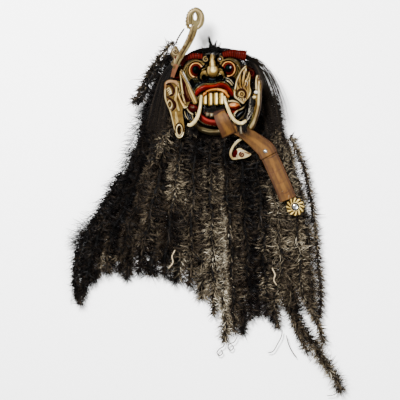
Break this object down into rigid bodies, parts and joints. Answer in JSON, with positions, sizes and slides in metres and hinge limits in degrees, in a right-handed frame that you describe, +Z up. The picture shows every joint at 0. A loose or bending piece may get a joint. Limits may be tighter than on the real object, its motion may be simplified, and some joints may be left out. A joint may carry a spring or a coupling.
{
  "type": "rangda-type barong dance mask",
  "caption": "Carved and painted wooden demon dance mask with bulging eyes, tusks, long leather tongue, gilt ears and a mane of furry hide locks, lying on its back",
  "frame": {"origin": "on the surface the mask lies on, under the middle of its box", "axes": "+Y towards the crown, +X to the viewer's right, +Z up out of the face"},
  "size_m": [0.703, 1.0004, 0.1117],
  "materials": {
    "painted_wood": "satin paint, gilt and worn, with red, black and cream areas",
    "red_hide": "red lacquered, worn",
    "gilt_wood": "gilt and cream, worn",
    "gilt_hide": "gilt rawhide, worn",
    "maroon_hide": "matt paint",
    "bone": "polished bone",
    "tan_leather": "smooth, worn",
    "mirror_glass": "mirror",
    "dark_hair": "coarse black hair",
    "mane_fur": "long brown and grey hair"
  },
  "bodies": {
    "root": {"carved_face": "painted_wood", "brow_band_left": "red_hide", "brow_band_right": "red_hide", "ear_left": "gilt_wood", "ear_right": "gilt_wood", "side_ornament_left": "gilt_hide", "side_ornament_right": "gilt_hide", "temple_flap_left": "maroon_hide", "temple_flap_right": "maroon_hide", "tusk_left": "bone", "tusk_right": "bone", "crest_strap": "gilt_hide", "crest_leaf": "gilt_hide", "crest_cord": "dark_hair", "tongue_upper_strap": "tan_leather", "tongue_lower_strap": "tan_leather", "tongue_stud": "mirror_glass", "tongue_rosette": "gilt_hide", "rosette_mirror": "mirror_glass", "gilt_leaf": "gilt_hide", "beard_tuft_left": "dark_hair", "beard_tuft_right": "dark_hair", "crown_tuft": "dark_hair", "hide_collar": "dark_hair", "lock_low_01": "mane_fur", "lock_low_02": "mane_fur", "lock_low_03": "mane_fur", "lock_low_04": "mane_fur", "lock_low_05": "mane_fur", "lock_low_06": "mane_fur", "lock_low_07": "mane_fur", "lock_low_08": "mane_fur", "lock_low_09": "mane_fur", "lock_low_10": "mane_fur", "lock_low_11": "mane_fur", "lock_low_12": "mane_fur", "lock_low_13": "mane_fur", "lock_top_01": "mane_fur", "lock_top_02": "mane_fur", "lock_top_03": "mane_fur", "lock_top_04": "mane_fur", "lock_top_05": "mane_fur", "lock_top_06": "mane_fur", "lock_top_07": "mane_fur", "lock_top_08": "mane_fur", "lock_top_09": "mane_fur", "lock_top_10": "mane_fur", "lock_top_11": "mane_fur", "lock_top_12": "mane_fur", "crown_lock_left": "mane_fur", "short_lock_left": "mane_fur"}
  },
  "joints": []
}
